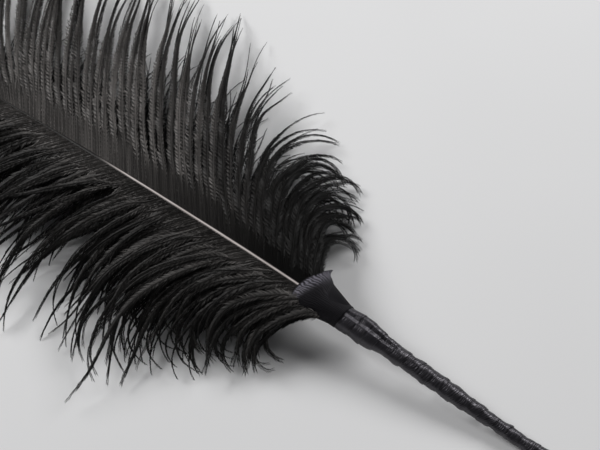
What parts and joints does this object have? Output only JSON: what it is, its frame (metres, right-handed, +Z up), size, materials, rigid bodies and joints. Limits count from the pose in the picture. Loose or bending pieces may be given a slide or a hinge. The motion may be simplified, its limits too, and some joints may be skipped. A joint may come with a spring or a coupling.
{
  "type": "ostrich feather",
  "caption": "Black ostrich plume lying flat, its vane parted into drooping locks, with satin ribbon folded in a collar below the vane and wound down the quill.",
  "frame": {"origin": "on the surface under the bound quill's end, on the small flat that the binding rests on", "axes": "+Z up from the surface; +X along the feather from its tip to the quill's end; +Y across it, to the side whose barbs lie spread"},
  "size_m": [0.3763, 0.1951, 0.0198],
  "materials": {
    "feather_barbs": "keratin barbs dyed black, soft with a slight gloss; near the binding the shaft's ridge shows paler",
    "ribbon_satin": "black satin ribbon with a soft sheen across the threads"
  },
  "bodies": {
    "root": {"feather": "feather_barbs", "ribbon": "ribbon_satin"}
  },
  "joints": []
}
